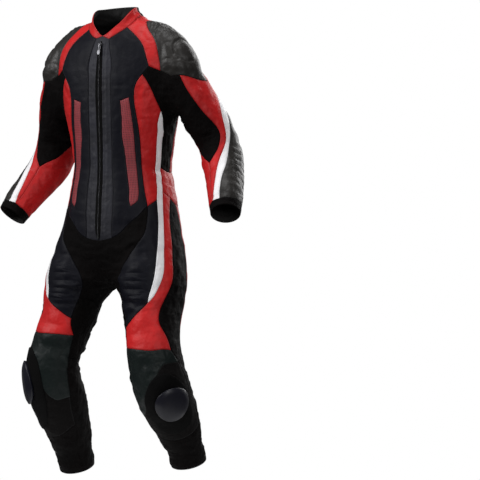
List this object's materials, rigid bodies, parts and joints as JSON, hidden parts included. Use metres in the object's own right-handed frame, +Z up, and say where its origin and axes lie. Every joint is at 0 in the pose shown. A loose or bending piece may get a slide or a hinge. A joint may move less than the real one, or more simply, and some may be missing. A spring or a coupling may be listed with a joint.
{
  "type": "motorcycle race suit",
  "caption": "One-piece leather race suit in red, dark grey and white, filled out as worn, with a back hump, stretch panels, knee sliders and a front zip.",
  "frame": {"origin": "midway between the shoulders, inside the neck of the suit, where the wearer carries it", "axes": "+Z up along the standing wearer, the chest faces -Y and +X is the wearer's left"},
  "size_m": [0.8718, 0.3538, 1.4781],
  "materials": {
    "red_leather": "semi-gloss grained cowhide, bright red",
    "dark_leather": "semi-gloss grained cowhide, near black",
    "grey_leather": "satin grained cowhide, dark grey",
    "white_leather": "semi-gloss grained cowhide, white",
    "black_stretch": "matte stretch weave, black",
    "red_mesh": "perforated, matte, dull red",
    "hook_tape": "woven tape and hook-and-loop cloth, black",
    "slider_plastic": "moulded hard plastic, dark blue-grey",
    "zip_metal": "dark plated zinc"
  },
  "bodies": {
    "suit": {"back": "dark_leather", "collar_back": "black_stretch", "crotch": "black_stretch", "hump": "dark_leather", "lumbar": "red_leather", "placket": "dark_leather", "seat": "grey_leather", "zip": "hook_tape", "zip_slider": "zip_metal", "back_inset_left": "red_mesh", "back_inset_right": "red_mesh", "back_red_left": "red_leather", "back_red_right": "red_leather", "chest_left": "dark_leather", "chest_right": "dark_leather", "chest_inset_left": "red_mesh", "chest_inset_right": "red_mesh", "collar_front_left": "red_leather", "collar_front_right": "red_leather", "cuff_left": "black_stretch", "cuff_right": "black_stretch", "elbow_left": "grey_leather", "elbow_right": "grey_leather", "forearm_red_left": "red_leather", "forearm_red_right": "red_leather", "knee_left": "dark_leather", "knee_right": "dark_leather", "knee_base_left": "hook_tape", "knee_base_right": "hook_tape", "knee_slider_left": "slider_plastic", "knee_slider_right": "slider_plastic", "leg_back_left": "black_stretch", "leg_back_right": "black_stretch", "leg_outer_left": "black_stretch", "leg_outer_right": "black_stretch", "shin_left": "black_stretch", "shin_right": "black_stretch", "shoulder_left": "grey_leather", "shoulder_right": "grey_leather", "side_black_left": "black_stretch", "side_black_right": "black_stretch", "side_red_left": "red_leather", "side_red_right": "red_leather", "side_white_left": "white_leather", "side_white_right": "white_leather", "sleeve_black_left": "black_stretch", "sleeve_black_right": "black_stretch", "sleeve_red_left": "red_leather", "sleeve_red_right": "red_leather", "sleeve_white_left": "white_leather", "sleeve_white_right": "white_leather", "thigh_front_left": "dark_leather", "thigh_front_right": "dark_leather", "thigh_red_left": "red_leather", "thigh_red_right": "red_leather", "thigh_stripe_left": "red_leather", "thigh_stripe_right": "red_leather", "yoke_left": "red_leather", "yoke_right": "red_leather"},
    "pull": {"zip_pull": "zip_metal"}
  },
  "joints": [
    {"name": "zip_pull_swing", "type": "hinge", "parent": "suit", "child": "pull", "pos_m": [0, -0.1354, -0.05995], "axis": [-1, 0, 0], "range_deg": [0, 150]}
  ]
}
